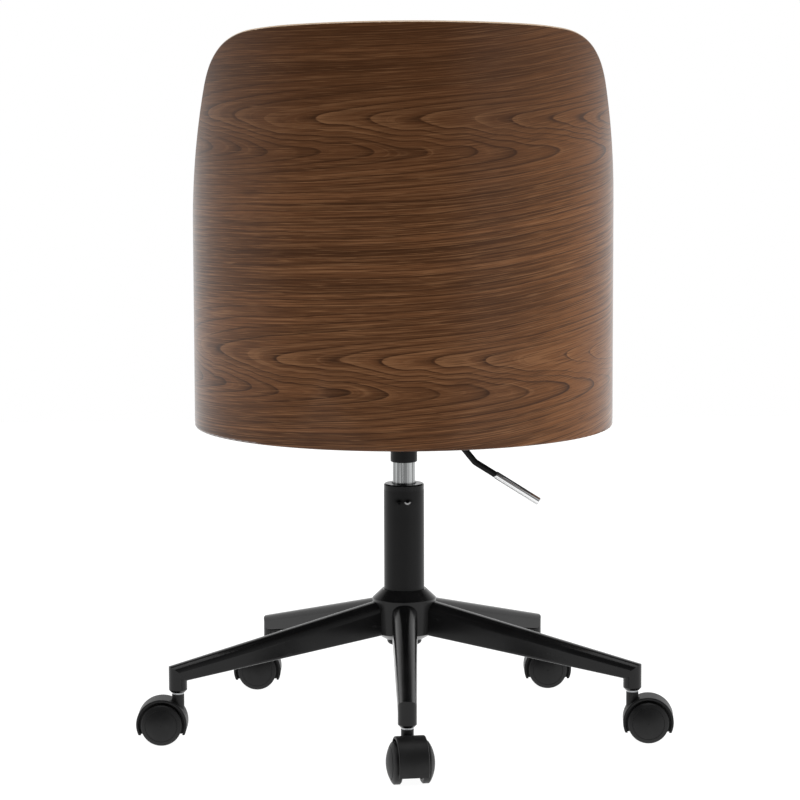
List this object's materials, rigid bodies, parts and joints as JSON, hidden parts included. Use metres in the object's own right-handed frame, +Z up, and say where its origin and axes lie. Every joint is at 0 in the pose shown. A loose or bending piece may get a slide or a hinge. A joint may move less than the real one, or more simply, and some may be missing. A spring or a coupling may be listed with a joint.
{
  "type": "office chair",
  "caption": "Swivel office chair with a wrap-round walnut bent-ply barrel back, padded seat, gas lift with release lever and a black star base on twin-wheel castors.",
  "frame": {"origin": "on the column's axis, at floor level under the wheels", "axes": "+Z up along the gas lift, -Y the way the sitter faces, +X to the sitter's left"},
  "size_m": [0.6594, 0.6146, 0.8796],
  "materials": {
    "walnut": "satin",
    "birch_ply": "matte",
    "upholstery": "satin",
    "black_steel": "gloss",
    "satin_black_steel": "satin",
    "zinc_steel": "satin",
    "bright_steel": "satin",
    "chrome": "polished",
    "black_nylon": "matte"
  },
  "bodies": {
    "base": {"base_hub": "black_steel", "leg_sockets": "black_steel", "gas_tube": "satin_black_steel", "guide_bush": "black_nylon", "thrust_bearing": "bright_steel", "leg_1": "black_steel", "leg_2": "black_steel", "leg_3": "black_steel", "leg_4": "black_steel", "leg_5": "black_steel"},
    "rod": {"piston_rod": "bright_steel", "rod_clip": "zinc_steel"},
    "seat": {"back_shell": "walnut", "back_pad": "upholstery", "seat_cushion": "upholstery", "seat_board": "birch_ply", "shell_brackets": "zinc_steel", "bracket_screws": "zinc_steel", "mech_plate": "black_steel", "mech_housing": "black_steel", "taper_socket": "black_steel", "plate_bolts": "zinc_steel", "tee_nuts": "zinc_steel", "lever_pin": "zinc_steel", "gas_strut": "bright_steel"},
    "lever": {"lever_rod": "black_steel", "lever_grip": "chrome"},
    "valve": {"valve_pin": "bright_steel"},
    "castor_1": {"castor_stem_1": "bright_steel", "castor_hood_1": "black_nylon", "castor_axle_1": "bright_steel"},
    "wheel_1a": {"wheel_1a": "black_nylon"},
    "wheel_1b": {"wheel_1b": "black_nylon"},
    "castor_2": {"castor_stem_2": "bright_steel", "castor_hood_2": "black_nylon", "castor_axle_2": "bright_steel"},
    "wheel_2a": {"wheel_2a": "black_nylon"},
    "wheel_2b": {"wheel_2b": "black_nylon"},
    "castor_3": {"castor_stem_3": "bright_steel", "castor_hood_3": "black_nylon", "castor_axle_3": "bright_steel"},
    "wheel_3a": {"wheel_3a": "black_nylon"},
    "wheel_3b": {"wheel_3b": "black_nylon"},
    "castor_4": {"castor_stem_4": "bright_steel", "castor_hood_4": "black_nylon", "castor_axle_4": "bright_steel"},
    "wheel_4a": {"wheel_4a": "black_nylon"},
    "wheel_4b": {"wheel_4b": "black_nylon"},
    "castor_5": {"castor_stem_5": "bright_steel", "castor_hood_5": "black_nylon", "castor_axle_5": "bright_steel"},
    "wheel_5a": {"wheel_5a": "black_nylon"},
    "wheel_5b": {"wheel_5b": "black_nylon"}
  },
  "joints": [
    {"name": "seat_swivel", "type": "hinge", "parent": "base", "child": "rod", "pos_m": [0, 0, 0.11], "axis": [0, 0, 1], "continuous": true},
    {"name": "seat_lift", "type": "slide", "parent": "rod", "child": "seat", "axis": [0, 0, 1], "range_m": [-0.026, 0.07]},
    {"name": "lever_pull", "type": "hinge", "parent": "seat", "child": "lever", "pos_m": [-0.024, 0, 0.376], "axis": [0, 1, 0], "range_deg": [0, 6], "stiffness_Nm_per_rad": 3},
    {"name": "valve_press", "type": "slide", "parent": "seat", "child": "valve", "axis": [0, 0, -1], "range_m": [0, 0.0026]},
    {"name": "castor_swivel_1", "type": "hinge", "parent": "base", "child": "castor_1", "pos_m": [0.00664, 0.29242, 0.06], "axis": [0, 0, 1], "continuous": true},
    {"name": "wheel_spin_1a", "type": "hinge", "parent": "castor_1", "child": "wheel_1a", "pos_m": [0.00389, 0.31193, 0.025], "axis": [0.9903, 0.1392, 0], "continuous": true},
    {"name": "wheel_spin_1b", "type": "hinge", "parent": "castor_1", "child": "wheel_1b", "pos_m": [0.00389, 0.31193, 0.025], "axis": [0.9903, 0.1392, 0], "continuous": true},
    {"name": "castor_swivel_2", "type": "hinge", "parent": "base", "child": "castor_2", "pos_m": [-0.27606, 0.09667, 0.06], "axis": [0, 0, 1], "continuous": true},
    {"name": "wheel_spin_2a", "type": "hinge", "parent": "castor_2", "child": "wheel_2a", "pos_m": [-0.29569, 0.09839, 0.025], "axis": [0.0872, 0.9962, 0], "continuous": true},
    {"name": "wheel_spin_2b", "type": "hinge", "parent": "castor_2", "child": "wheel_2b", "pos_m": [-0.29569, 0.09839, 0.025], "axis": [0.0872, 0.9962, 0], "continuous": true},
    {"name": "castor_swivel_3", "type": "hinge", "parent": "base", "child": "castor_3", "pos_m": [-0.17725, -0.23268, 0.06], "axis": [0, 0, 1], "continuous": true},
    {"name": "wheel_spin_3a", "type": "hinge", "parent": "castor_3", "child": "wheel_3a", "pos_m": [-0.19694, -0.23199, 0.025], "axis": [0.0349, 0.9994, 0], "continuous": true},
    {"name": "wheel_spin_3b", "type": "hinge", "parent": "castor_3", "child": "wheel_3b", "pos_m": [-0.19694, -0.23199, 0.025], "axis": [0.0349, 0.9994, 0], "continuous": true},
    {"name": "castor_swivel_4", "type": "hinge", "parent": "base", "child": "castor_4", "pos_m": [0.16651, -0.24048, 0.06], "axis": [0, 0, 1], "continuous": true},
    {"name": "wheel_spin_4a", "type": "hinge", "parent": "castor_4", "child": "wheel_4a", "pos_m": [0.1862, -0.24116, 0.025], "axis": [0.0349, 0.9994, 0], "continuous": true},
    {"name": "wheel_spin_4b", "type": "hinge", "parent": "castor_4", "child": "wheel_4b", "pos_m": [0.1862, -0.24116, 0.025], "axis": [0.0349, 0.9994, 0], "continuous": true},
    {"name": "castor_swivel_5", "type": "hinge", "parent": "base", "child": "castor_5", "pos_m": [0.28016, 0.08405, 0.06], "axis": [0, 0, 1], "continuous": true},
    {"name": "wheel_spin_5a", "type": "hinge", "parent": "castor_5", "child": "wheel_5a", "pos_m": [0.29985, 0.08336, 0.025], "axis": [0.0349, 0.9994, 0], "continuous": true},
    {"name": "wheel_spin_5b", "type": "hinge", "parent": "castor_5", "child": "wheel_5b", "pos_m": [0.29985, 0.08336, 0.025], "axis": [0.0349, 0.9994, 0], "continuous": true}
  ],
  "couplings": [
    {"joint": "valve_press", "follows": "lever_pull", "m_per_rad": 0.024}
  ]
}
